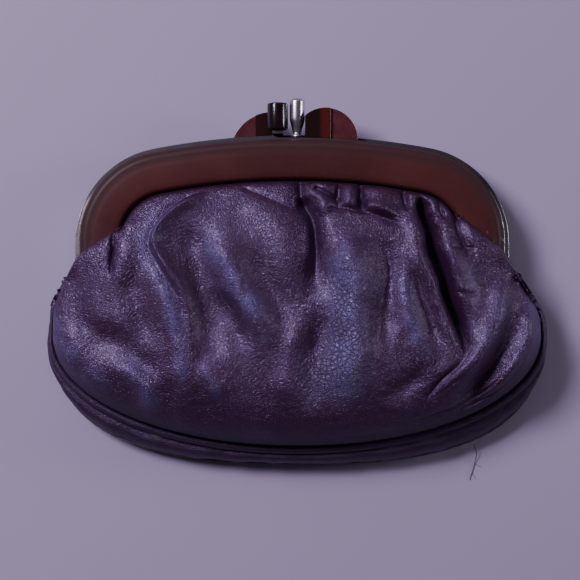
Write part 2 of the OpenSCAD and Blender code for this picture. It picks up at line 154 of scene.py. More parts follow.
def disc(centre, radius, thickness, axis, n=40):
    """A round plate: its axis runs along +axis from the centre."""
    u, v = [w for w in range(3) if w != axis]
    rings = np.zeros((2, n, 3))
    for k in range(n):
        a = 2 * math.pi * k / n
        rings[:, k, u] = centre[u] + radius * math.cos(a)
        rings[:, k, v] = centre[v] + radius * math.sin(a)
    rings[0, :, axis] = centre[axis]
    rings[1, :, axis] = centre[axis] + thickness
    return tube(rings)


def block(low, high):
    """A rectangular bar between two corners."""
    (x0, y0, z0), (x1, y1, z1) = low, high
    square = [(x0, y0), (x1, y0), (x1, y1), (x0, y1)]
    return tube(np.array([[(x, y, z) for x, y in square] for z in (z0, z1)], float))


EDGE_ANGLE = math.radians(40)  # a sharper turn than this is an edge


def made(name, part, finish, body, replaced, bevel=0.0):
    """A finished piece: its mesh, material and place on a body of the frame."""
    points, faces = part
    mesh = bpy.data.meshes.new(name)
    mesh.from_pydata((np.asarray(points) * MM).tolist(), [], faces)
    mesh.update()
    piece = bpy.data.objects.new(name, mesh)
    bpy.context.scene.collection.objects.link(piece)
    mesh.materials.append(finish.material)
    work = bpy.context.view_layer.objects
    work.active = piece
    piece.select_set(True)
    bpy.ops.object.mode_set(mode="EDIT")
    bpy.ops.mesh.select_all(action="SELECT")
    bpy.ops.mesh.normals_make_consistent(inside=False)
    bpy.ops.object.mode_set(mode="OBJECT")
    piece.select_set(False)
    if bevel:
        rounding = piece.modifiers.new("rounded_edges", "BEVEL")
        rounding.width = bevel * MM
        rounding.segments = 3
        rounding.limit_method = "ANGLE"
        rounding.angle_limit = EDGE_ANGLE
        rounding.harden_normals = True
    for p in mesh.polygons:
        p.use_smooth = True
    if bevel:
        mesh.set_sharp_from_angle(angle=EDGE_ANGLE)
    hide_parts(*replaced)
    if body:
        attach(piece, body)
    return piece


def coated(names, finish):
    """Gives pieces that keep their own shape a finish."""
    for name in names:
        node = frame["nodes"][name]
        node.data.materials.clear()
        node.data.materials.append(finish.material)


def marked(piece, name, values):
    """Stores a value on each of the mesh's points."""
    piece.data.attributes.new(name, "FLOAT", "POINT").data.foreach_set("value", values)


class Value:
    """A socket of a shader that does sums: an expression on it adds the Math nodes that it means."""

    def __init__(self, finish, socket):
        self.finish, self.socket = finish, socket

    def maths(self, operation, *values):
        return self.finish.node("Math", {"operation": operation}, dict(enumerate(values)))

    def __add__(self, other):
        return self.maths("ADD", self, other)

    def __sub__(self, other):
        return self.maths("SUBTRACT", self, other)

    def __rsub__(self, other):
        return self.maths("SUBTRACT", other, self)

    def __mul__(self, other):
        return self.maths("MULTIPLY", self, other)

    __radd__ = __add__
    __rmul__ = __mul__

    def sine(self):
        return self.maths("SINE", self)

    def between(self, low, high):
        """0 below low, 1 above high and a soft step from one to the other."""
        return self.finish.node("MapRange", {"interpolation_type": "SMOOTHSTEP"},
                                {"Value": self, "From Min": low, "From Max": high})

    def near(self, middle, reach):
        """1 at the middle, falling softly to 0 a reach away on both sides."""
        away = self.maths("ABSOLUTE", self - middle)
        return 1 - away.between(0.0, reach)


class Finish:
    """A node material that ends in one Principled BSDF."""

    def __init__(self, name, **settings):
        self.material = bpy.data.materials.new(name)
        self.material.use_nodes = True
        self.tree = self.material.node_tree
        self.tree.nodes.clear()
        self.shader = self.tree.nodes.new("ShaderNodeBsdfPrincipled")
        end = self.tree.nodes.new("ShaderNodeOutputMaterial")
        self.tree.links.new(self.shader.outputs[0], end.inputs[0])
        self.set(**settings)

    def set(self, **sockets):
        """Sets or links the shader's sockets; base_color is Base Color."""
        for key, value in sockets.items():
            name = key.replace("_", " ").title().replace("Ior", "IOR")
            self.plug(self.shader.inputs[name], value)

    def plug(self, socket, value):
        if isinstance(value, Value):
            self.tree.links.new(value.socket, socket)
        elif socket.type == "RGBA" and len(value) == 3:
            socket.default_value = (*value, 1.0)
        else:
            socket.default_value = value

    def node(self, kind, settings=None, sockets=None, out=0):
        """Any node: its settings are set first, then the values or links of its sockets."""
        made_node = self.tree.nodes.new("ShaderNode" + kind)
        for key, value in (settings or {}).items():
            setattr(made_node, key, value)
        for key, value in (sockets or {}).items():
            self.plug(made_node.inputs[key], value)
        return Value(self, made_node.outputs[out])

    def place(self):
        """Position on the object, in millimetres."""
        metres = self.node("TexCoord", out="Object")
        return self.node("VectorMath", {"operation": "SCALE"}, {0: metres, "Scale": 1000.0})

    def axes(self):
        """Position in millimetres as three values."""
        apart = self.tree.nodes.new("ShaderNodeSeparateXYZ")
        self.tree.links.new(self.place().socket, apart.inputs[0])
        return [Value(self, o) for o in apart.outputs]

    def mix(self, share, a, b):
        """Colour a where share is 0 and b where it is 1."""
        return self.node("Mix", {"data_type": "RGBA"}, {0: share, 6: a, 7: b}, out=2)

    def painted(self, name):
        """A value stored on the mesh's points."""
        return self.node("Attribute", {"attribute_name": name}, out=2)

    def noise(self, per_mm, detail=3.0, rough=0.5, where=None):
        return self.node("TexNoise", None, {"Vector": where or self.place(), "Scale": per_mm,
                                            "Detail": detail, "Roughness": rough})

    def cells(self, per_mm, feature="F1", where=None):
        return self.node("TexVoronoi", {"feature": feature},
                         {"Vector": where or self.place(), "Scale": per_mm})

    def bump(self, height_mm):
        """A bump of a height in millimetres."""
        return self.node("Bump", None, {"Height": height_mm, "Distance": MM})


def nickel(name, tone=(0.60, 0.53, 0.52), crown=0.9):
    """Nickel plate: dulled in clouds, finely scratched along the bend, darkened to near black towards the
    crown.
    """
    metal = Finish(name, metallic=1.0)
    x, y, z = metal.axes()
    clouds = metal.noise(0.35, 4)
    specks = metal.noise(3.0, 2).between(0.60, 0.72)
    scratches = metal.node("CombineXYZ", None, {0: x * 0.4, 1: y * 0.4, 2: z * 9.0})
    fine = metal.noise(1.6, 3, 0.6, scratches)
    dull = metal.mix(clouds.between(0.35, 0.75), tone, tuple(0.72 * c for c in tone))
    # Near black and rougher towards the top of the arch, as much as crown asks.
    crown_darkening = (y + 5.0 * clouds).between(17.0, 26.0) * crown
    dull = metal.mix(crown_darkening, dull, (0.016, 0.010, 0.014))
    metal.set(base_color=metal.mix(specks * 0.55, dull, (0.10, 0.07, 0.06)),
              roughness=0.14 + 0.18 * clouds + 0.10 * fine + 0.25 * crown_darkening,
              normal=metal.bump(fine * 0.01 + clouds * 0.03))
    return metal


def channel(arch, side):
    """The folded strip with its two ears."""
    top = MID + CHANNEL_H
    inner = -CHANNEL_DEPTH
    section = [(0, MID), (0, top), (inner, top), (inner, top - SHEET), (-SHEET, top - SHEET),
               (-SHEET, MID + SHEET), (inner, MID + SHEET), (inner, MID)]
    parts = [tube(swept(arch, section, side, RIM_Y))]
    x0 = arch.half_w - SHEET
    for mirror in (1, -1):
        start = x0 if mirror == 1 else -arch.half_w
        parts.append(disc((start, 0, HINGE_Z), EAR_R, SHEET, 0))
        low, high = sorted([HINGE_Z, height(side, EAR_R)])
        parts.append(block((start, 0.0, low), (start + SHEET, RIM_Y + 0.5, high)))
    return joined(*parts)


front_metal = nickel("nickel_front")
back_metal = nickel("nickel_back", (0.63, 0.59, 0.60))
made("front_channel", channel(FRONT, 1), front_metal, "front_half", ["front_frame"], bevel=0.14)
made("back_channel", channel(BACK, -1), back_metal, "back_half", ["back_frame"], bevel=0.14)

# ---- Hinge rivets ----------------------------------------------------------------------------
# A shouldered nickel rivet joins the ears on each side. Its outer head is domed by the set.

coated(["right_hinge_rivet", "left_hinge_rivet"], back_metal)

# ---- Covers ----------------------------------------------------------------------------------
# A band of moulded red-brown plastic is pressed over each channel. It has a rolled outer
# shoulder, a nearly flat face with a satin polish, and a rounded inner edge.

COVER_W = 9.7
COVER_T = 2.2
COVER_INSET = 0.5             # metal rim left showing outside the cover
SHOULDER_W = 1.9
INNER_R = 1.2


def cover_section():
    """The band's outline: [(distance out from the rim, level), ...]."""
    base = MID + CHANNEL_H
    out, inn = -COVER_INSET, -COVER_INSET - COVER_W
    shoulder = []
    for i in range(9):                      # the outer shoulder, a soft quarter roll
        a = math.radians(90 * i / 8)
        shoulder.append((out - SHOULDER_W * (1 - math.cos(a)), base + 0.3 + 1.78 * math.sin(a)))
    face = []
    for i in range(1, 9):                   # a slightly hollow ledge, then the crowned face
        t = i / 9
        x = (out - SHOULDER_W) + (inn + INNER_R - out + SHOULDER_W) * t
        ledge = 0.10 * math.exp(-((t - 0.12) / 0.07) ** 2)
        face.append((x, base + COVER_T - 0.12 + 0.13 * math.sin(math.pi * t) - ledge))
    inner = []
    for i in range(1, 8):                   # the rounded inner edge
        a = math.radians(90 * i / 7)
        inner.append((inn + INNER_R * (1 - math.sin(a)), base + 0.5 + (COVER_T - 0.62) * math.cos(a)))
    return [(out, base)] + shoulder + face + inner + [(inn, base)]


def brown_plastic(name, tone=(0.074, 0.019, 0.018), rim_tone=(0.046, 0.0205, 0.0205)):
    """Red-brown plastic with darker clouds in it, a satin polish and fine wear."""
    plastic = Finish(name, specular_ior_level=0.14, coat_roughness=0.25, coat_ior=1.4)
    x, y, z = plastic.axes()
    clouds = plastic.noise(0.055, 3, 0.55)
    fine = plastic.noise(0.9, 4, 0.6)
    flow = plastic.node("CombineXYZ", None, {0: x * 0.6 + y * 2.2, 1: y * 0.5 - x * 1.1, 2: z})
    scratches = plastic.noise(1.9, 2, 0.5, flow).between(0.70, 0.74)
    chips = plastic.cells(0.75).between(0.30, 0.10)
    worn = x.between(44.0, 50.0) * y.near(9.0, 7.0) * chips * plastic.noise(0.8, 1).between(0.52, 0.60)
    zone = (plastic.painted("inset") + 1.2 * clouds).between(2.2, 5.2)
    body = plastic.mix(clouds.between(0.35, 0.68), tone, tuple(0.72 * c for c in tone))
    body = plastic.mix(zone, rim_tone, body)
    body = plastic.mix(fine.between(0.45, 0.8) * 0.25, body, (0.080, 0.026, 0.026))
    body = plastic.mix(worn * 0.8, body, (0.42, 0.36, 0.36))
    plastic.set(base_color=body,
                roughness=0.42 + 0.12 * fine + 0.08 * scratches + 0.2 * worn,
                coat_weight=0.05 - 0.04 * scratches,
                normal=plastic.bump(fine * 0.012 - scratches * 0.015 - worn * 0.05))
    return plastic


cover_plastic = brown_plastic("cover_plastic")
COVER_Y = RIM_Y + 0.1
for name, arch, side, body, cad_cover in (("front_cover_band", FRONT, 1, "front_half", "front_cover"),
                                          ("back_cover_band", BACK, -1, "back_half", "back_cover")):
    rings = swept(arch, cover_section(), side, COVER_Y)
    band = made(name, tube(rings), cover_plastic, body, [cad_cover])
    marked(band, "inset", np.tile([-off for off, z in cover_section()], len(rings)))

# ---- Clasp pin -------------------------------------------------------------------------------
# A turned metal pin stands on the front rim: a collar, a narrow waist and a round-topped head.


def smooth(low, high, x):
    t = np.clip((x - low) / (high - low), 0, 1)
    return t * t * (3 - 2 * t)


def lathed(profile, centre, n=48):
    """A round part about an axis along +Y, from a profile [(radius, height), ...]."""
    rings = np.zeros((len(profile), n, 3))
    for i, (r, h) in enumerate(profile):
        for k in range(n):
            a = 2 * math.pi * k / n
            rings[i, k] = (centre[0] + r * math.sin(a), centre[1] + h, centre[2] + r * math.cos(a))
    return tube(rings)


def middle(node):
    low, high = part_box(node)
    return 500 * (low + high)


PIN_R = 1.85
PIN_H = 9.6
WAIST_R = 0.98
pin_at = middle("clasp_pin")
pin_y = 1000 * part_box("clasp_pin")[1].y - PIN_H
pin_z = 1000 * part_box("clasp_pin")[1].z - PIN_R
pin_line = [(0.02, 0.0), (1.35, 0.0), (1.5, 0.12), (1.5, 0.5), (1.38, 0.66), (1.0, 0.8), (WAIST_R, 1.2)]
for i in range(1, 11):                      # the waist swells into the head
    t = i / 10
    pin_line.append((WAIST_R + (PIN_R - WAIST_R) * smooth(-0.15, 1.0, t), 1.2 + 3.4 * t))
pin_line += [(PIN_R, 6.4), (PIN_R, PIN_H - 1.0)]
for i in range(1, 7):                       # the head's rounded shoulder
    a = math.radians(90 * i / 6)
    pin_line.append((PIN_R - 0.55 * (1 - math.cos(a)), PIN_H - 1.0 + 0.6 * math.sin(a)))
pin_line += [(1.1, PIN_H - 0.22), (0.7, PIN_H - 0.08), (0.02, PIN_H)]
made("clasp_pin_turned", lathed(pin_line, (pin_at.x, pin_y, pin_z)),
     nickel("nickel_pin", (0.74, 0.68, 0.74), 0.0), "front_half", ["clasp_pin"])

# ---- Clasp barrel ----------------------------------------------------------------------------
# A nearly black plastic barrel is pressed on a cranked metal post of the back half, so that it
# stands beside the pin and snaps past it.

BARREL_R = 2.5
BARREL_L = 6.5


def gloss_plastic(name, tone):
    """Polished dark plastic with faint clouds and dust-fine wear."""
    plastic = Finish(name, specular_ior_level=0.45, coat_roughness=0.10, coat_ior=1.45)
    clouds = plastic.noise(0.5, 3)
    fine = plastic.noise(4.0, 3, 0.6)
    plastic.set(base_color=plastic.mix(clouds.between(0.3, 0.7), tone, tuple(0.55 * c for c in tone)),
                roughness=0.14 + 0.10 * fine,
                coat_weight=0.3 - 0.1 * fine,
                normal=plastic.bump(fine * 0.008 + clouds * 0.02))
    return plastic


barrel_low = 1000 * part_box("clasp_barrel")[0]
barrel_at = middle("clasp_barrel")
barrel_line = [(0.02, 0.0), (2.0, 0.0), (2.3, 0.08), (2.45, 0.25), (BARREL_R, 0.5),
               (BARREL_R, BARREL_L - 0.5)]
for i in range(1, 6):                       # the rounded upper edge
    a = math.radians(90 * i / 5)
    barrel_line.append((BARREL_R - 0.45 * (1 - math.cos(a)), BARREL_L - 0.5 + 0.45 * math.sin(a)))
barrel_line += [(0.9, BARREL_L), (0.02, BARREL_L)]
made("clasp_barrel_turned", lathed(barrel_line, (barrel_at.x, barrel_low.y, barrel_at.z)),
     gloss_plastic("barrel_plastic", (0.014, 0.004, 0.006)), "back_half", ["clasp_barrel"])

coated(["barrel_post", "right_thumb_rivets", "left_thumb_rivets"], back_metal)

# ---- Thumb pieces ----------------------------------------------------------------------------
# Half-moons of translucent brown plastic beside the barrel and the pin. Each has a thin round
# wing and a thicker boss, and is riveted to its rim from inside the channel.

WING_T = 1.6
BOSS_T = 3.2
THUMB_LEVEL = 2.025           # from the meeting plane to the middle of a half-moon


def thumb_plastic(name, split, side, red):
    """Dark in the thick boss, red-brown and lighter in the thin wing, with a painted red glow in the boss
    beside the wing.
    """
    plastic = Finish(name, specular_ior_level=0.55, coat_roughness=0.05, coat_ior=1.5,
                     subsurface_radius=(0.004, 0.0012, 0.001), subsurface_scale=0.3)
    x, y, z = plastic.axes()
    clouds = plastic.noise(0.45, 3, 0.5)
    fine = plastic.noise(5.0, 3, 0.6)
    wing = (x * side).between(split - 0.15, split + 0.15)
    # Painted glow: light through the plastic, painted as a red band in the boss next to the wing.
    painted_glow = (x * side + 0.9 * clouds).between(split - 2.7, split - 1.3)
    boss = plastic.mix(painted_glow * red, (0.014, 0.003, 0.003), (0.072, 0.009, 0.006))
    thin = plastic.mix(clouds.between(0.35, 0.7), (0.090, 0.023, 0.025), (0.070, 0.015, 0.017))
    plastic.set(base_color=plastic.mix(wing, boss, thin),
                roughness=0.13 + 0.12 * fine,
                coat_weight=0.3 - 0.1 * fine,
                normal=plastic.bump(fine * 0.008))
    return plastic


def half_moon(centre, radius, foot, level, thickness, x_from, x_to):
    """A flat plate between x_from and x_to, cut by the disc above and the crown below."""
    n = 40
    outline = []
    xs = [x_from + (x_to - x_from) * i / n for i in range(n + 1)]
    for x in xs:
        reach = max(radius ** 2 - (x - centre[0]) ** 2, 0.0)
        outline.append((x, max(centre[1] + math.sqrt(reach), foot(x) + 0.05)))
    for x in reversed(xs):
        outline.append((x, foot(x)))
    half = thickness / 2
    return tube(np.array([[(x, y, z) for x, y in outline] for z in (level - half, level + half)]))


def thumb_piece(arch, side, x_side, x_in, boss_w, radius, centre_x, centre_up):
    """The half-moon of one side, from x_in outwards: x_side 1 for the right, -1 for the left."""
    level = height(side, THUMB_LEVEL)
    centre = (centre_x, arch.rise + centre_up)

    def foot(x):
        return arch.top + math.sqrt((arch.crown_r + 0.05) ** 2 - x * x)

    x_end = centre_x + math.sqrt(radius ** 2 - (centre[1] - foot(centre_x + radius)) ** 2)
    x_split = x_in + boss_w
    points, faces = joined(half_moon(centre, radius, foot, level, WING_T, x_split - 0.02, x_end),
                           half_moon(centre, radius, foot, level, BOSS_T, x_in, x_split))
    return points * np.array([x_side, 1.0, 1.0]), faces


RIGHT_BOSS, LEFT_BOSS = 6.2, 4.1
RIGHT_R, LEFT_R = 7.6, 10.3
right_x = 1000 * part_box("right_thumb_piece")[0].x
left_x = -1000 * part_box("left_thumb_piece")[1].x
made("right_thumb_wing", thumb_piece(FRONT, 1, 1, right_x, RIGHT_BOSS, RIGHT_R, right_x + 5.0, -0.4),
     thumb_plastic("right_thumb_plastic", right_x + RIGHT_BOSS, 1, 0.9), "front_half",
     ["right_thumb_piece"], bevel=0.16)
made("left_thumb_wing", thumb_piece(BACK, -1, -1, left_x, LEFT_BOSS, LEFT_R, left_x, -4.6),
     thumb_plastic("left_thumb_plastic", left_x + LEFT_BOSS, -1, 0.15), "back_half",
     ["left_thumb_piece"], bevel=0.16)

# ---- Front leather ---------------------------------------------------------------------------
# One panel of soft aubergine leather. It is gathered into the front channel, laps over the
# frame's legs at both ends, bulges over the pouch and turns under at the seam with the gusset.
# Its wrinkles are sculpted along routes, because the real ones come from how it was gathered.

PANEL_X = 1.2                 # the pouch has settled a little to the right of the frame's middle
WIDEST_Y = -12.5
SEAM_HALF_W = 58.9
SEAM_DROP = 26.7
SEAM_POWER = 2.05
SEAM_Z = HINGE_Z + 1.2
LEATHER = 1.0
PANEL_TOP = 21.0
ROUND_REACH = 19.0            # the panel rounds over this far in from the seam
GATHER_REACH = 5.5            # and dips towards the cover over this distance
HEM = ((0.9, -1.3), (0.35, -1.0), (0.0, -0.45))     # rows turned under at the seam, (inwards, up)
TONGUE = ((1.2, 0.15), (4.0, 0.3), (7.0, 0.35))     # rows under the cover, (outwards, down)
ROWS, COLUMNS = 250, 360


def curve(points, n):
    """n points spaced evenly along a smooth line through a few."""
    p = np.array(points, float)
    padded = np.vstack([2 * p[0] - p[1], p, 2 * p[-1] - p[-2]])
    fine = []
    for a, b, c, d in zip(padded, padded[1:], padded[2:], padded[3:]):
        for t in np.linspace(0, 1, 40, endpoint=False):
            fine.append(0.5 * (2 * b + (c - a) * t + (2 * a - 5 * b + 4 * c - d) * t ** 2
                               + (3 * b - a - 3 * c + d) * t ** 3))
    fine.append(p[-1])
    return spaced(np.array(fine), n)


def spaced(line, n):
    """n points spaced evenly along a line of points."""
    steps = np.linalg.norm(np.diff(line, axis=0), axis=1)
    run = np.concatenate([[0], np.cumsum(steps)])
    at = np.linspace(0, run[-1], n)
    return np.stack([np.interp(at, run, line[:, k]) for k in range(line.shape[1])], 1)


def lower_outline(half_w, drop, power, top, n=400):
    """The pouch's edge from the left hinge down round the bottom to the right hinge."""
    arc = []
    for i in range(n + 1):
        a = math.pi * i / n
        c, s = math.cos(a), math.sin(a)
        arc.append((PANEL_X - half_w * math.copysign(abs(c) ** (2 / power), c),
                    WIDEST_Y - drop * abs(s) ** (2 / power)))
    arc = np.array(arc)
    between = 0.5 * (top + half_w)
    left = np.array([(-top, 0.6), (-top - 1.2, -1.8), (-between - 0.6, -5.6), arc[0] + (0.15, 3.4)])
    right = np.array([(top, 0.6), (top + 1.6, -1.8), (between + 2.0, -5.6), arc[-1] + (-0.15, 3.4)])
    return np.vstack([curve(left, 60)[:-1], arc, curve(right, 60)[::-1][1:]])


HINGE_X = 54.4
seam_line = lower_outline(SEAM_HALF_W, SEAM_DROP, SEAM_POWER, HINGE_X)

# The upper edge: over the left leg, along the cover's inner edge, and over the right leg.
MOUTH = -(COVER_INSET + COVER_W) - 0.15


def mouth_of(arch, y0):
    """The opening's edge along an arch from left to right, and its outward directions."""
    points, out = arch.line(y0)
    return (points + MOUTH * out)[::-1], out[::-1]


def outward_at(edge, mouth, mouth_out):
    """The mouth's outward direction nearest to each point of an edge."""
    return mouth_out[np.argmin(((edge[:, None] - mouth[None]) ** 2).sum(-1), axis=1)]


mouth_line, mouth_out = mouth_of(FRONT, 7.0)
over_left = curve([(-HINGE_X, 0.6), (-53.2, 3.2), (-50.0, 7.2), (-45.8, 10.3), (-41.6, 13.0)], 60)
over_right = curve([(HINGE_X, 0.6), (53.4, 3.8), (49.8, 8.4), (45.4, 12.0), (40.9, 15.6)], 60)
kept = mouth_line[:, 1] > np.where(mouth_line[:, 0] < 0, 13.2, 15.8)
upper_line = np.vstack([over_left, mouth_line[kept], over_right[::-1]])

bottom = spaced(seam_line, COLUMNS)
top = spaced(upper_line, COLUMNS)


def near_route(x, y, route):
    """Distance to a route, signed to its right, and the place along it from 0 to 1."""
    best = np.full(x.shape, 1e9)
    signed = np.zeros(x.shape)
    place = np.zeros(x.shape)
    count = len(route) - 1
    for k in range(count):
        a, b = route[k], route[k + 1]
        d = b - a
        t = np.clip(((x - a[0]) * d[0] + (y - a[1]) * d[1]) / (d @ d), 0, 1)
        px, py = x - a[0] - t * d[0], y - a[1] - t * d[1]
        dist = np.hypot(px, py)
        closer = dist < best
        best = np.where(closer, dist, best)
        signed = np.where(closer, np.sign(px * d[1] - py * d[0]) * dist, signed)
        place = np.where(closer, (k + t) / count, place)
    return best, signed, place


def faded(place, start, end):
    """1 along a route, falling to 0 over a share of it at each end."""
    rise = smooth(0, start, place) if start else 1.0
    fall = smooth(0, end, 1 - place) if end else 1.0
    return rise * fall


# Folds as (height, width, fade in, fade out, route as x, y, x, y ...): soft ridges and valleys,
# sharp creases, and a lap that is steep on its right only.
WAVES = [
    # left of the middle
    (1.0, 3.0, 0.1, 0.4, [-39, 16, -39.2, 9, -39.6, 1, -38, -6]),
    (1.3, 3.2, 0.2, 0.3, [-34.5, 8, -31.6, 2.6, -29.2, -2, -27.4, -7, -26.2, -13, -25.4, -21, -25.4, -32]),
    (-2.0, 4.6, 0.2, 0.3, [-25, 15, -23, 7, -21, -2, -19.5, -10, -19.5, -20]),
    (1.9, 3.6, 0.3, 0.3, [-18.5, 15, -15, 6, -12, 0.5, -9, -4.5, -6, -10.7, -5.2, -18]),
    (-1.2, 2.8, 0.4, 0.4, [-19.5, 0, -15.5, -6, -12, -12, -10.5, -20]),
    (-1.6, 3.4, 0.3, 0.4, [-11, 10, -7, 2, -3, -6, -1, -15]),
    (1.0, 2.4, 0.4, 0.3, [-21.4, -18, -18.6, -22.5, -16, -28]),
    (1.3, 2.6, 0.4, 0.2, [-41, -18, -36.4, -22, -33.7, -25.3, -31.6, -31]),
    (-1.5, 3.4, 0.4, 0.3, [-47, -7, -42, -13, -37, -17.5, -30, -24]),
    (-1.2, 3.0, 0.3, 0.4, [-37, 6, -37.5, -2, -35, -10, -31, -17]),
    (0.5, 3.6, 0.3, 0.3, [-56.6, -9.5, -53.4, -16, -48.7, -22.6, -42, -27.6]),
    (-1.4, 3.6, 0.4, 0.4, [-52.5, 0, -50, -8, -45, -15.5, -40, -20]),
    (1.1, 3.2, 0.2, 0.4, [-12, 20, -5, 16, -1, 9, 0, 1]),
    # the gathers
    (-1.8, 3.0, 0.1, 0.4, [2.8, 21, 5.4, 14, 6.4, 7, 5.8, 0, 5, -8]),
    (1.2, 1.3, 0.1, 0.3, [17.6, 18.6, 21.4, 17.6, 26, 15.8]),
    (1.3, 2.4, 0.0, 0.4, [7.2, 25, 7.4, 20, 8.4, 15]),
    (1.3, 1.6, 0.0, 0.5, [14.2, 25, 14.2, 20, 14.2, 15]),
    (1.4, 2.6, 0.0, 0.4, [21.3, 24.2, 21.6, 19.6, 23.4, 16]),
    (0.7, 1.3, 0.0, 0.5, [28.9, 22.6, 29.4, 18, 29.9, 12]),
    (0.7, 1.3, 0.0, 0.4, [33.4, 21, 34, 18.4, 35.4, 15]),
    (0.8, 1.3, 0.0, 0.4, [37.4, 19, 37.4, 15, 38.2, 11]),
    # right of the middle
    (3.4, 4.2, 0.2, 0.3, [14.6, 14, 14.4, 6, 15.6, -1, 15.2, -7.5, 15.8, -14, 14.8, -21, 13, -30]),
    (-1.7, 2.7, 0.2, 0.3, [19.6, 12.6, 22.6, 7.4, 23.6, 2, 23.4, -4, 22, -10, 20.6, -18]),
    (1.0, 2.6, 0.3, 0.3, [26.4, 6, 26.6, -2, 28.2, -8, 30, -14, 31.2, -21]),
    (-0.9, 1.8, 0.3, 0.3, [29, 6, 31, -3, 33.4, -9.5, 35, -17]),
    (1.3, 2.0, 0.1, 0.3, [28.8, 17, 30, 10, 31, 4, 33.6, -1.6, 36.2, -7.6, 38, -14, 39, -21]),
    (1.6, 2.4, 0.1, 0.4, [36.4, 16, 37.4, 9, 39.4, 2, 42, -5, 44.4, -11]),
    (2.0, 3.0, 0.2, 0.3, [51.8, 4.4, 50.4, -2, 49.2, -7, 46.2, -15, 39.4, -22.6, 33.6, -28]),
    (-2.0, 2.5, 0.35, 0.25, [53.4, -4, 52.2, -10, 49.4, -17, 45.2, -23.6, 38, -30]),
    (2.0, 2.1, 0.2, 0.3, [55.6, -4, 57, -10, 55.2, -16.2, 49.8, -23.4, 43, -28.6]),
    (-1.3, 2.4, 0.4, 0.4, [33, -19, 28, -24, 21, -29]),
    (0.9, 2.4, 0.4, 0.4, [3, -6, 1, -14, -1, -24, -2, -32]),
    (-1.2, 2.8, 0.4, 0.4, [8, -4, 7, -13, 5, -24, 4, -32]),
]
CREASES = [
    # left of the middle
    (-1.5, 0.42, 0.0, 0.35, [-42.1, 13, -42.1, 9, -42.4, 4.5, -42.3, 0]),
    (-0.8, 0.9, 0.1, 0.3, [-12, 23, -6.2, 20.6, -0.8, 18.2, 4, 16.8]),
    # the gathers
    (-3.0, 1.3, 0.0, 0.45, [2, 25, 2.8, 19.3, 5.2, 15, 6, 10, 6.2, 4, 5.2, -2.5]),
    (-1.8, 0.8, 0.0, 0.3, [11.8, 25, 11.4, 21, 11.5, 17.4]),
    (-3.0, 0.9, 0.0, 0.25, [16.6, 25, 16.7, 20, 16.8, 15.8]),
    (-1.5, 0.7, 0.1, 0.2, [5.4, 22.8, 9, 21, 12, 19]),
    (-1.1, 0.9, 0.1, 0.3, [16.8, 17.2, 19.6, 16.2, 22.8, 15, 27.4, 13.2]),
    (-1.2, 0.7, 0.1, 0.3, [8.6, 17, 12.6, 17.8, 16.6, 16.6]),
    (-2.2, 0.9, 0.0, 0.3, [26.7, 23.6, 27, 20, 27.8, 16.6]),
    (-1.5, 0.6, 0.0, 0.3, [35.6, 20.4, 35.4, 18, 36.6, 15]),
    # right of the middle
    (-0.4, 0.8, 0.3, 0.3, [22.2, 8, 23.6, 2.6, 23, -3.5]),
    (-6.8, 1.15, 0.1, 0.28, [30.6, 21.6, 31.4, 16.5, 33.2, 12, 33.6, 8.2, 36.2, 2.2, 37.2, -3, 39.5, -8.8,
        40.8, -12.8, 41.8, -19.5]),
    (-1.7, 0.8, 0.0, 0.35, [39.4, 15.6, 39.2, 14, 40, 11, 42.4, 6.4]),
    (-0.6, 0.5, 0.3, 0.3, [37.2, 9, 40.5, 8.2, 45, 8.3]),
    (-0.6, 0.5, 0.3, 0.3, [38.2, -1.8, 41, -2.6, 44.2, -2.6]),
    (-0.5, 0.8, 0.3, 0.3, [53, -6.6, 51.8, -11.6, 49.2, -17.4, 45.4, -23.4, 38, -29]),
    (-0.8, 0.6, 0.3, 0.3, [57.4, -13, 54, -20.5, 47, -27, 37, -31.6]),
    (-0.6, 0.5, 0.3, 0.3, [52, -20, 46.4, -25.4, 38.4, -29.8, 28, -33]),
    (-0.4, 0.5, 0.3, 0.3, [46, -14, 43.4, -19, 38, -24, 33, -27.6]),
    (-1.2, 0.8, 0.3, 0.3, [42, -16, 39.2, -19.8, 35, -23.6, 31, -29]),
]
LAPS = [
    (3.0, 2.6, 0.1, 0.4, [-20, 22, -26.2, 18.9, -29.8, 16, -32.2, 12.6, -32.8, 9.2, -30.6, 5, -28.2, 1.2,
        -25.6, -3, -24.2, -8, -23.6, -14, -23.6, -24]),
]

# Painted highlights along the folds' crests, lighter and bluish, as (width, strength, route).
HIGHLIGHT_ROUTES = [
    (1.8, 0.75, [-22.5, 21.8, -27.5, 18.8, -31.5, 15.5, -34, 11.5, -34.2, 8, -31.8, 2.6, -29.3, -2,
        -27.6, -7, -26.2, -13, -25.6, -21, -25.4, -31]),
    (2.4, 0.9, [-20.5, 17, -17.5, 8, -14.8, 2.6, -11.5, -2, -8.6, -6.5, -7, -10.7, -6.2, -18]),
    (3.0, 0.7, [-58, -5, -56, -12, -52.5, -17, -48.5, -21.5, -42, -26.5]),
    (2.2, 0.6, [-41, -17, -37, -21, -33.7, -26, -31, -32]),
    (1.8, 0.5, [-21.6, -16.5, -18.8, -21.5, -15.6, -29]),
    (3.8, 0.85, [14, 15, 12.8, 6, 13.6, -1, 13.2, -7.5, 13.8, -14, 12.7, -20.5, 11, -31]),
    (1.8, 0.7, [24.6, 4, 26.2, -2, 28.2, -8, 30, -13, 31.6, -20]),
    (2.2, 0.5, [51, 4, 49.4, -2, 48.2, -8, 45, -15.6, 38, -23]),
    (2.2, 0.7, [56.4, -2, 58.2, -8.5, 57.4, -14, 52, -22]),
    (1.6, 0.4, [41, 6, 43, -1, 43.6, -8, 42, -15]),
]


def wave(d, signed, place):
    return np.exp(-d ** 2)


def crease(d, signed, place):
    return np.exp(-d ** 1.2)


def lap(d, signed, place):
    past = smooth(-1.0, 1.0, signed / (0.5 + 1.9 * smooth(0.25, 0.7, place)))
    return (1 - past) * np.exp(-d ** 1.6) - 0.3 * past * np.exp(-(2 * d) ** 1.5)


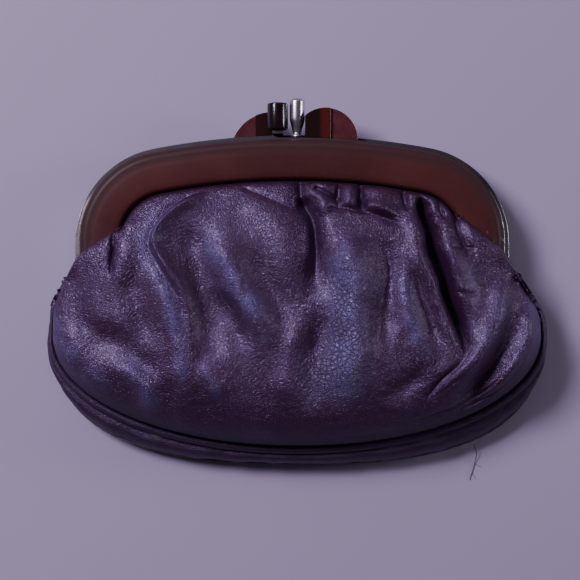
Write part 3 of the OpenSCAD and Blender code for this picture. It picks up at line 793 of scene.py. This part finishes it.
def fold_height(x, y):
    """All the folds' heights together; d is a distance from a route in the fold's own widths."""
    total = np.zeros(x.shape)
    for table, form in ((WAVES, wave), (CREASES, crease), (LAPS, lap)):
        for size, width, start, end, route in table:
            dist, signed, place = near_route(x, y, curve(np.reshape(route, (-1, 2)), 24))
            total += size * faded(place, start, end) * form(dist / width, signed, place)
    return total


def rough_height(x, y, scale, seed, octaves=3):
    """Smooth noise from -1 to 1 with cells of about scale millimetres."""
    flat = np.stack([x.ravel() / scale, y.ravel() / scale], 1)
    return np.array([noise.fractal((a, b, seed), 1.0, 2.0, octaves) for a, b in flat]).reshape(x.shape)


def skin_grid(rows, low_line, high_line, spread=0.62):
    """Plan of a panel: straight columns from the lower to the upper edge, closer near both."""
    t = np.linspace(0, 1, rows)
    t = (1 - spread) * t + spread * (0.5 - 0.5 * np.cos(np.pi * t))
    return low_line[None] * (1 - t[:, None, None]) + high_line[None] * t[:, None, None]


def front_base(x, y, from_low, from_high, edge_z):
    """The leather's height without folds, by the distance from its lower and upper edges."""
    crown = PANEL_TOP - 2.6 * (np.abs(x - PANEL_X) / 60) ** 2.5
    crown -= 1.8 * smooth(4, 24, y) + 0.6 * smooth(-20, -36, y)
    low = np.sqrt(np.clip(1 - (1 - np.clip(from_low / ROUND_REACH, 0, 1)) ** 2.2, 0, 1))
    d = np.clip(from_high, 0, None)
    high = 1 - 0.50 * np.exp(-d / GATHER_REACH) - 0.50 * np.exp(-d / 0.4)
    lifted = SEAM_Z + (crown - SEAM_Z) * low
    return edge_z + (lifted - edge_z) * high


plan = skin_grid(ROWS, bottom, top)
X, Y = plan[..., 0], plan[..., 1]
reach_low = near_route(X, Y, spaced(seam_line, 160))[0]
reach_high = near_route(X, Y, spaced(upper_line, 140))[0]

# Height of the upper edge: under the cover's edge inside the arch, and on the cover at the legs.
UNDER_COVER = MID + 2.9       # from the meeting plane to leather that runs under a cover
tucked = HINGE_Z + UNDER_COVER
on_cover = HINGE_Z + MID + CHANNEL_H + COVER_T + 0.25
over = np.maximum(smooth(-39.0, -42.4, top[:, 0]) * smooth(16.5, 12.0, top[:, 1]),
                  smooth(38.4, 41.8, top[:, 0]) * smooth(19.0, 15.0, top[:, 1]))
dropped = smooth(50.6, 54.2, np.abs(top[:, 0])) * smooth(7.5, 2.5, top[:, 1])
upper_z = tucked + (on_cover - tucked) * over
upper_z = upper_z + (HINGE_Z + 1.6 - upper_z) * dropped
unfolded = front_base(X, Y, reach_low, reach_high, upper_z[None, :])

pinned = smooth(0.0, 2.5, reach_low) * (0.3 + 0.7 * smooth(0.0, 1.0, reach_high))
folds = fold_height(X, Y)
right_side = smooth(-8, 10, X)
wander = 0.6 * rough_height(X, Y, 11.0, 3.7, 2)
wander += 0.12 * (0.2 + right_side) * rough_height(X, Y, 2.4, 8.2, 2)
Z = unfolded + pinned * (folds + wander)


def extra_rows():
    """Rows beyond the panel's plan: the hem that turns under at the seam, and the tongue that
    runs into the channel inside the arch or turns under on the cover."""
    below, above = [], []
    inward = np.gradient(bottom, axis=0)
    inward = np.stack([-inward[:, 1], inward[:, 0]], 1) / np.linalg.norm(inward, axis=1)[:, None]
    for dx, dz in HEM:
        below.append(np.column_stack([bottom + inward * dx, Z[0] + dz]))
    outward = outward_at(top, mouth_line, mouth_out)
    under_cover = smooth(0.3, 0.0, over)
    for reach, under in TONGUE:
        xy = top + outward * reach * under_cover[:, None] - outward * 0.22 * reach * over[:, None]
        z = np.where(over > 0.3, upper_z - under, np.minimum(upper_z - 0.05, tucked))
        above.append(np.column_stack([xy, z]))
    return below, above


below, above = extra_rows()
front_outer = np.concatenate([np.array(below), np.dstack([X, Y, Z]), np.array(above)])


def grid_normals(points):
    """Unit normals of a grid of points."""
    du = np.gradient(points, axis=1)
    dv = np.gradient(points, axis=0)
    n = np.cross(du, dv)
    return n / np.maximum(np.linalg.norm(n, axis=2), 1e-9)[..., None]


def sheet_part(outer, inner):
    """A closed sheet between two grids of points."""
    m, n = outer.shape[:2]
    i, j = np.meshgrid(np.arange(m - 1), np.arange(n - 1), indexing="ij")
    a = i * n + j
    quads = np.stack([a, a + 1, a + n + 1, a + n], -1).reshape(-1, 4)
    under = quads[:, ::-1] + m * n
    rim = np.concatenate([np.arange(n), np.arange(1, m) * n + n - 1, (m - 1) * n + np.arange(n - 2, -1, -1),
                          np.arange(m - 2, 0, -1) * n])
    after = np.roll(rim, -1)
    walls = np.stack([after, rim, rim + m * n, after + m * n], -1)
    return np.vstack([outer.reshape(-1, 3), inner.reshape(-1, 3)]), np.vstack([quads, under, walls]).tolist()


def thick(outer, thickness):
    """A sheet from a grid of points, with its thickness against the normals."""
    return sheet_part(outer, outer - grid_normals(outer) * thickness)


def leather(name, tone, shine, grain=1.0, crackle=1.0):
    """Soft, thin leather: pebbled grain, finer crazing where it is worn, a painted bluish highlight along
    its folds and painted shade in its creases.
    """
    hide = Finish(name, specular_ior_level=1.0, specular_tint=(0.70, 0.58, 1.0),
                  sheen_weight=0.02, sheen_roughness=0.4, sheen_tint=(0.6, 0.5, 0.9),
                  coat_roughness=0.30, coat_ior=1.45, coat_tint=(0.85, 0.80, 1.0))
    x, y, z = hide.axes()
    place = hide.place()
    bend = hide.noise(0.6, 2)
    drift = hide.node("TexNoise", None, {"Vector": place, "Scale": 0.5, "Detail": 2.0}, out="Color")
    warped = hide.node("VectorMath", {"operation": "MULTIPLY_ADD"}, {0: drift, 1: (0.9, 0.9, 0.9), 2: place})
    pebbles = hide.cells(2.9, "SMOOTH_F1", where=warped)
    lines = hide.cells(0.85, "DISTANCE_TO_EDGE", where=warped)
    fine_lines = hide.cells(2.1, "DISTANCE_TO_EDGE", where=warped)
    pores = hide.noise(3.2, 2, 0.6)
    worn = (x.near(13.2, 6.5) * y.near(-7.0, 24.0) + x.near(9.0, 22.0) * y.near(-22.0, 16.0) * 0.6) * crackle
    worn = (worn * (0.6 + 0.8 * hide.noise(0.16, 2))).between(0.15, 0.85)
    streaks = hide.noise(0.12, 4, 0.6)
    cracks = 1 - lines.between(0.0, 0.13)
    small_cracks = 1 - fine_lines.between(0.0, 0.16)
    deep = tuple(0.45 * c for c in tone)
    redder = (tone[0] * 1.12, tone[1] * 0.95, tone[2] * 0.92)
    bluer = (tone[0] * 0.95, tone[1] * 1.08, tone[2] * 1.18)
    skin = hide.mix(streaks.between(0.25, 0.75), redder, bluer)
    skin = hide.mix(pores.between(0.45, 0.75) * 0.35, skin, deep)
    # The worn patch is also lifted to a pale bluish colour: a painted highlight on that ridge, laid over the
    # real crazing, whose cracks stay dark.
    skin = hide.mix(worn * 0.6, skin, (0.140, 0.105, 0.200))
    skin = hide.mix(worn * cracks * 0.7, skin, deep)
    painted_shade = hide.painted("painted_shade")
    painted_highlight = hide.painted("painted_highlight")
    on_pebbles = 0.25 + 0.75 * (1 - pebbles.between(0.15, 0.5))
    # Painted highlight: pale blue on the crests of the folds, strongest on the tops of the pebbles.
    skin = hide.mix(painted_highlight * on_pebbles, skin, (0.150, 0.145, 0.330))
    # Painted shade in the creases: the colour is darkened where the stored mask is high, and the leather is
    # made rougher there.
    skin = hide.mix(painted_shade * 0.85, skin, tuple(0.2 * c for c in tone))
    height_mm = (pebbles * -0.13 + pores * 0.07) * grain
    height_mm = height_mm - worn * cracks * 0.22 - small_cracks * 0.04 - bend * 0.02
    dull = shine + 0.12 * pores + 0.05 * streaks + 0.16 * worn * cracks
    hide.set(base_color=skin,
             roughness=dull - 0.05 * worn - 0.05 * painted_highlight + 0.3 * painted_shade,
             coat_weight=0.05 + 0.03 * streaks,
             normal=hide.bump(height_mm))
    return hide


AUBERGINE = (0.033, 0.0068, 0.026)
front_leather = leather("aubergine_leather", AUBERGINE, 0.25)


def bending(piece):
    """Bakes a piece's placement into its mesh; the piece is left off the frame's bodies."""
    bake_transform(piece)


front_piece = made("front_leather", thick(front_outer, LEATHER), front_leather, None,
                   ["front_panel", "front_panel_fold", "front_panel_top"])
# Painted shade: the leather is darkened along the bottom seam, where it turns under, and in the deepest
# folds.
painted_shade_mask = np.maximum(smooth(4.5, 0.5, reach_low) * smooth(-14.0, -28.0, Y), smooth(-2.0, -5.5, folds))
# Painted highlight mask along the listed routes, broken up by noise.
painted_highlight_mask = np.zeros(X.shape)
for width, strength, route in HIGHLIGHT_ROUTES:
    dist, signed, place = near_route(X, Y, curve(np.reshape(route, (-1, 2)), 20))
    painted_highlight_mask = np.maximum(painted_highlight_mask, strength * faded(place, 0.25, 0.3) * np.exp(-(dist / width) ** 2))
painted_highlight_mask = painted_highlight_mask * np.clip(0.75 + 0.9 * rough_height(X, Y, 3.4, 1.3, 2), 0.2, 1.0)
no_hem, no_tongue = np.zeros((len(below), COLUMNS)), np.zeros((len(above), COLUMNS))
painted_shade_hem = np.repeat(painted_shade_mask[:1], len(below), 0)
marked(front_piece, "painted_shade", np.tile(np.vstack([painted_shade_hem, painted_shade_mask, no_tongue]).ravel(), 2))
marked(front_piece, "painted_highlight", np.tile(np.vstack([no_hem, painted_highlight_mask, no_tongue]).ravel(), 2))
bending(front_piece)

# ---- Gusset ----------------------------------------------------------------------------------
# A band of the same leather joins the front to the back round the bottom and sides. It rolls
# over beside the front seam and slopes down to the back seam at the pouch's outer edge.

BACK_HALF_W = 59.6
BACK_DROP = 31.6
BACK_POWER = 2.7
BACK_SEAM_Z = 2.0
GUSSET_T = 0.8
SLOPE_ROWS = 22
back_line = lower_outline(BACK_HALF_W, BACK_DROP, BACK_POWER, HINGE_X)
foot = spaced(back_line, COLUMNS)
head = spaced(seam_line, COLUMNS)


def normals_of(line):
    """Outward directions along the pouch's edge."""
    d = np.gradient(line, axis=0)
    out = np.stack([d[:, 1], -d[:, 0]], 1)
    return out / np.linalg.norm(out, axis=1)[:, None]


head_out, foot_out = normals_of(head), normals_of(foot)
width = np.linalg.norm(foot - head, axis=1)
roll = smooth(0.3, 2.5, width)[:, None]
gusset_rows = []
ROLL = [(-0.9, -1.9), (-0.3, -1.7), (0.05, -0.9), (0.35, -0.1), (0.85, 0.40), (1.4, 0.42), (1.9, 0.0),
        (2.2, -0.6)]
for out, up in ROLL:                       # the turned seam's roll, (outwards, up) from the seam
    gusset_rows.append(np.column_stack([head + head_out * out * (0.35 + 0.65 * roll),
                                        SEAM_Z - 0.9 + up * (0.5 + 0.5 * roll)]))
start = gusset_rows[-1]
end = np.column_stack([foot + foot_out * 0.15, np.full(len(foot), BACK_SEAM_Z + 0.5)])
for t in np.linspace(0.08, 1, SLOPE_ROWS):         # the slope, swollen outwards
    swell = math.sin(math.pi * t) * 0.9 - 0.55 * math.exp(-((t - 0.08) / 0.12) ** 2)
    row = start * (1 - t) + end * t
    row[:, :2] += foot_out * swell * 0.8
    row[:, 2] += swell * 0.9 * roll[:, 0]
    gusset_rows.append(row)
gusset_rows.append(end + np.column_stack([foot_out * -0.5, np.full(len(foot), -0.45)]))
gusset_outer = np.array(gusset_rows)
ripple = rough_height(gusset_outer[..., 0], gusset_outer[..., 1], 7.0, 5.1) * 0.3
ripple += rough_height(gusset_outer[..., 0], gusset_outer[..., 1], 2.2, 6.3, 2) * 0.08
row_at = np.arange(len(gusset_rows))[:, None]
ripple *= smooth(7, 12, row_at) * smooth(0, 3, len(gusset_rows) - 1 - row_at)
gusset_outer += grid_normals(gusset_outer) * -ripple[..., None]
# Painted shade: the band's tone is darker than the front's, standing in for the shade on a band that faces
# down and out.
gusset_leather = leather("gusset_leather", (0.022, 0.005, 0.018), 0.42, 0.8, 0.0)
bending(made("gusset_band", thick(gusset_outer, -GUSSET_T), gusset_leather, None,
             ["gusset"]))

# ---- Back leather ----------------------------------------------------------------------------
# The back panel lies flat on the table over a broad middle, turns up to its seam with the gusset
# and is gathered into the back channel.

BACK_TURN = 9.0               # the panel turns up over this far in from its seam
BACK_GATHER = 3.2
back_mouth, back_mouth_out = mouth_of(BACK, 9.0)
back_over_left = curve([(-HINGE_X, 0.6), (-50.0, 4.2), (-45.5, 6.6), (-42.2, 9.4)], 40)
back_over_right = back_over_left[::-1] * np.array([-1.0, 1.0])
back_upper = np.vstack([back_over_left, back_mouth[back_mouth[:, 1] > 9.6], back_over_right])
back_low = spaced(back_line, 240)
back_top = spaced(back_upper, 240)
back_plan = skin_grid(120, back_low, back_top)
BX, BY = back_plan[..., 0], back_plan[..., 1]
back_from_low = near_route(BX, BY, spaced(back_line, 140))[0]
back_from_high = near_route(BX, BY, spaced(back_upper, 120))[0]
lip = HINGE_Z - UNDER_COVER
legs = smooth(40.9, 42.6, np.abs(back_top[:, 0]))
lip_z = lip + (0.35 - lip) * legs * smooth(10.5, 9.0, back_top[:, 1])
lip_z = lip_z + (BACK_SEAM_Z - lip_z) * smooth(51.0, 54.2, np.abs(back_top[:, 0]))
flatness = 1 - np.sqrt(np.clip(1 - (1 - np.clip(back_from_low / BACK_TURN, 0, 1)) ** 2, 0, 1))
settled = BACK_SEAM_Z * flatness
BZ = settled + (lip_z[None] - settled) * np.exp(-np.clip(back_from_high, 0, None) / BACK_GATHER)
pleats = 0.5 * (1 + np.sin(1.15 * BX + 1.6 * np.sin(0.21 * BX))) * np.exp(-back_from_high / 5.0)
BZ = BZ + pleats * 0.9 * smooth(6, 12, BY) * smooth(0.2, 2.0, back_from_high)
BZ = np.maximum(BZ + 0.25 * np.abs(rough_height(BX, BY, 11.0, 4.4)) * smooth(0.5, 4.0, back_from_low), 0.02)
back_outward = outward_at(back_top, back_mouth, back_mouth_out)
tongue = []
for reach in (1.2, 4.0, 7.0):
    xy = back_top + back_outward * reach * (1 - legs)[:, None]
    tongue.append(np.column_stack([xy, lip_z + 0.02 * reach]))
back_outer = np.concatenate([np.dstack([BX, BY, BZ]), np.array(tongue)])


def raised(grid, lift):
    """A grid of points moved up."""
    return grid + np.array([0.0, 0.0, 1.0]) * np.asarray(lift)[..., None]


made("back_leather", sheet_part(back_outer, raised(back_outer, LEATHER)),
     leather("back_leather", AUBERGINE, 0.38, 1.0, 0.4), "back_half", ["back_panel"])

# ---- Linings ---------------------------------------------------------------------------------
# Plain woven cloth, cut like the leather and hung loosely inside it.


def cloth(name, tone):
    """A plain weave with a slub in both directions."""
    weave = Finish(name, specular_ior_level=0.25,
                   sheen_weight=0.4, sheen_roughness=0.5, sheen_tint=(0.7, 0.65, 0.7))
    x, y, z = weave.axes()
    over_under = (x * 12.0).sine() * (y * 12.0).sine()
    slub = weave.noise(0.8, 4, 0.6)
    yarn = weave.mix(over_under.between(-1.0, 1.0), tuple(0.85 * c for c in tone), tone)
    weave.set(base_color=weave.mix(slub.between(0.3, 0.8) * 0.4, yarn, tuple(1.6 * c for c in tone)),
              roughness=0.75 + 0.15 * slub,
              normal=weave.bump(over_under * 0.012 + slub * 0.06))
    return weave


lining_cloth = cloth("lining_cloth", (0.105, 0.080, 0.085))
CLOTH = 0.35
LINING_GAP = 2.0              # from the leather's outside to the lining
lowest = folds * pinned
for shift in (3, 6, 9):                    # the lining keeps clear of the deepest fold nearby
    for axis in (0, 1):
        lowest = np.minimum(lowest, np.minimum(np.roll(lowest, shift, axis), np.roll(lowest, -shift, axis)))
hang = np.minimum(lowest, 0.0)
for axis in (0, 1):                        # and follows it only loosely
    hang = np.apply_along_axis(
        lambda r: np.convolve(np.pad(r, 7, mode="edge"), np.ones(15) / 15, mode="valid"), axis, hang)
lining_z = unfolded - LINING_GAP + hang - 0.6 * smooth(0.3, 3.0, reach_high) + 0.35 * wander
lining_grid = np.dstack([X, Y, lining_z])[2::4, ::4]
pull = np.array([PANEL_X, -8.0])
lining_grid[..., :2] = pull + (lining_grid[..., :2] - pull) * np.array([0.972, 0.955])
lining_grid = np.concatenate([lining_grid, raised(np.array(above)[:1, ::4], -1.25)])
bending(made("front_lining_cloth", thick(lining_grid, CLOTH), lining_cloth, None,
             ["front_lining", "front_lining_fold", "front_lining_top"]))

gusset_inner = gusset_outer[4::4, ::3].copy()
centre = np.array([PANEL_X, WIDEST_Y])
gusset_inner[..., :2] = centre + (gusset_inner[..., :2] - centre) * 0.962
bending(made("gusset_lining_cloth", thick(gusset_inner, -CLOTH), lining_cloth, None,
             ["gusset_lining"]))

back_lining = raised(back_outer[::3, ::2], LEATHER + 0.15)
slack = 0.3 * (1 + rough_height(back_lining[..., 0], back_lining[..., 1], 6.0, 9.9))
back_lining = raised(back_lining, slack)
made("back_lining_cloth", sheet_part(back_lining, raised(back_lining, CLOTH)), lining_cloth, "back_half",
     ["back_lining"])

# ---- Paper cords -----------------------------------------------------------------------------
# Twisted paper cord is pushed into each channel behind the leather, to wedge it there.

paper = Finish("paper_cord", specular_ior_level=0.3)
px, py, pz = paper.axes()
twist = ((px + py + pz * 2.0) * 7.0).sine()
paper.set(base_color=paper.mix(twist.between(-1.0, 1.0), (0.30, 0.20, 0.11), (0.50, 0.36, 0.20)),
          roughness=0.8 + 0.1 * paper.noise(3.0), normal=paper.bump(twist * 0.06))
coated(["front_filler_cord", "back_filler_cord"], paper)

# ---- Seam threads ----------------------------------------------------------------------------
# Waxed thread. The front seam is turned, so its thread is hidden in the crease. The back seam is
# sewn through from outside, with short stitches along the pouch's edge and one frayed end.

thread = Finish("waxed_thread", specular_ior_level=0.4)
tx, ty, tz = thread.axes()
ply = ((tx - ty + tz) * 14.0).sine()
thread.set(base_color=thread.mix(ply.between(-1.0, 1.0), (0.020, 0.012, 0.026), (0.070, 0.045, 0.085)),
           roughness=0.5 + 0.2 * thread.noise(4.0), normal=thread.bump(ply * 0.05))
THREAD_R = 0.15
SINK = 0.2                    # how far a stitch's ends go into the leather


def strand(path, radius, sides):
    """A round strand along a path of points."""
    path = np.asarray(path, float)
    ahead = np.gradient(path, axis=0)
    ahead /= np.linalg.norm(ahead, axis=1)[:, None]
    side = np.cross(ahead, (0.0, 0.0, 1.0))
    side /= np.maximum(np.linalg.norm(side, axis=1), 1e-6)[:, None]
    up = np.cross(side, ahead)
    a = np.linspace(0, 2 * np.pi, sides, endpoint=False)
    radius = np.broadcast_to(radius, len(path))[:, None, None]
    round_it = side[:, None] * np.cos(a)[:, None] + up[:, None] * np.sin(a)[:, None]
    return tube(path[:, None] + radius * round_it)


def stitches(line, z, length, gap):
    """Short stitches along a line, each one rising out of the leather and going back in."""
    steps = np.linalg.norm(np.diff(line, axis=0), axis=1).sum()
    count = int(steps / (length + gap))
    fine = spaced(line, count * 12 + 1)
    parts = []
    for k in range(count):
        run = fine[k * 12: k * 12 + 9]
        lift = np.sin(np.linspace(0, np.pi, len(run)))
        parts.append(strand(np.column_stack([run, z - SINK + lift * SINK * 1.6]), THREAD_R, 6))
    return joined(*parts)


back_stitch_line = spaced(back_line + normals_of(back_line) * 0.12, 900)[190:-190]
sewn = stitches(back_stitch_line, BACK_SEAM_Z + 0.25, 1.9, 0.9)
loose = curve([(44.6, -39.4, 2.2), (45.3, -41.8, 1.2), (45.0, -44.0, 0.35), (44.4, -46.2, 0.25),
               (43.7, -48.4, 0.22)], 26)
frayed = [strand(loose, np.linspace(0.10, 0.06, 26), 6)]
for k, (dx, dy) in enumerate(((0.9, -1.6), (-0.7, -1.9), (1.6, -0.8))):
    tip = loose[-6 - 3 * k]
    frayed.append(strand(curve([tip, tip + (0.4 * dx, 0.5 * dy, 0.1), tip + (dx, dy, 0.0)], 8), 0.04, 5))
made("back_seam_stitches", joined(sewn, *frayed), thread, "back_half", ["back_seam_thread"])
front_line = spaced(seam_line, 700)[110:-110]
hidden = stitches(front_line - normals_of(front_line) * 0.1, SEAM_Z - 1.75, 1.6, 0.8)
bending(made("front_seam_stitches", hidden, thread, None, ["front_seam_thread"]))

# ---- Floor, light and camera -----------------------------------------------------------------
# A plain pale floor, a window to the left, soft light from above the clasp and a weak light low
# on the right. The camera looks almost straight down.

floor_finish = Finish("pale_floor", base_color=(0.38, 0.33, 0.45), roughness=0.9)
floor_mesh = bpy.data.meshes.new("floor")
floor_mesh.from_pydata([(-2, -2, 0), (2, -2, 0), (2, 2, 0), (-2, 2, 0)], [], [(0, 1, 2, 3)])
floor_mesh.materials.append(floor_finish.material)
floor = bpy.data.objects.new("floor", floor_mesh)
bpy.context.scene.collection.objects.link(floor)

world = bpy.data.worlds.new("soft_room")
world.use_nodes = True
background = world.node_tree.nodes["Background"].inputs
background[0].default_value = (0.84, 0.74, 1.0, 1.0)
background[1].default_value = 0.065
bpy.context.scene.world = world


def softbox(name, place, aim, size, power, tone):
    """A rectangular area light."""
    lamp = bpy.data.lights.new(name, "AREA")
    lamp.shape = "RECTANGLE"
    lamp.size, lamp.size_y = size
    lamp.energy = power
    lamp.color = tone
    holder = bpy.data.objects.new(name, lamp)
    holder.location = place
    holder.rotation_euler = (Vector(aim) - Vector(place)).to_track_quat("-Z", "Y").to_euler()
    bpy.context.scene.collection.objects.link(holder)


softbox("window", (-0.38, 0.30, 0.52), (0, 0, 0.01), (0.26, 0.18), 5.3, (0.88, 0.80, 1.0))
softbox("sky", (-0.10, 0.85, 0.80), (0, 0, 0.01), (1.2, 0.7), 1.2, (0.88, 0.78, 1.0))
softbox("side", (0.60, 0.10, 0.20), (0.04, 0, 0.01), (0.16, 0.12), 1.1, (0.95, 0.88, 1.0))

lens = bpy.data.cameras.new("camera")
lens.lens = 100.5
lens.sensor_width = 36.0
lens.clip_start = 0.01
camera = bpy.data.objects.new("camera", lens)
camera.location = (0.012, -0.003, 0.400)
aim = Vector((-0.0002, -0.0017, 0.010))
back = (camera.location - aim).normalized()
right = Vector((0, 1, 0)).cross(back).normalized()
camera.rotation_euler = Matrix((right, back.cross(right), back)).transposed().to_euler()
bpy.context.scene.collection.objects.link(camera)
bpy.context.scene.camera = camera
